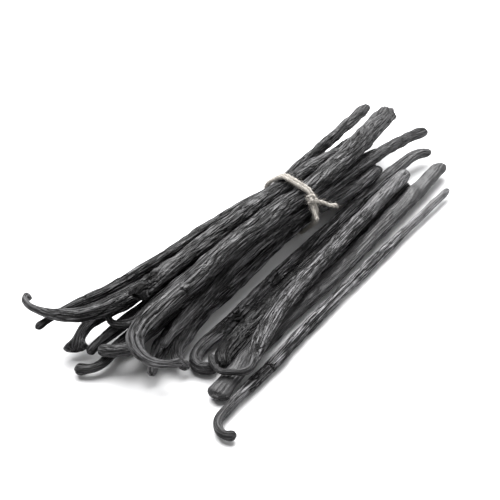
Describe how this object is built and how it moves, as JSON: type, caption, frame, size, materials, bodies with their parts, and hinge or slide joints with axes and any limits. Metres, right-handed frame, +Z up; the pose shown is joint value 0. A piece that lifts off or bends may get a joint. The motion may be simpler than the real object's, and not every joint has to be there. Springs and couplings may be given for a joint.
{
  "type": "bundle of vanilla pods",
  "caption": "Bundle of long dark wrinkled cured pods with curled stalk ends, fanned out at one end and tied round the middle with pale twine.",
  "frame": {"origin": "on the surface that the bundle lies on, under the middle of its box", "axes": "+X runs along the bundle, from the hooked stalk ends to the blunt blossom ends; +Z is up; the knot of the tie faces +Z and -Y"},
  "size_m": [0.1846, 0.0842, 0.0244],
  "materials": {
    "pod_skin": "near-black, finely wrinkled along its length, satin and slightly oily",
    "twine_fibre": "matt, pale, twisted and hairy"
  },
  "bodies": {
    "root": {"pod_01": "pod_skin", "pod_02": "pod_skin", "pod_03": "pod_skin", "pod_04": "pod_skin", "pod_05": "pod_skin", "pod_06": "pod_skin", "pod_07": "pod_skin", "pod_08": "pod_skin", "pod_09": "pod_skin", "pod_10": "pod_skin", "pod_11": "pod_skin", "pod_12": "pod_skin", "pod_13": "pod_skin", "pod_14": "pod_skin", "pod_15": "pod_skin", "pod_16": "pod_skin", "pod_17": "pod_skin", "twine": "twine_fibre"}
  },
  "joints": []
}
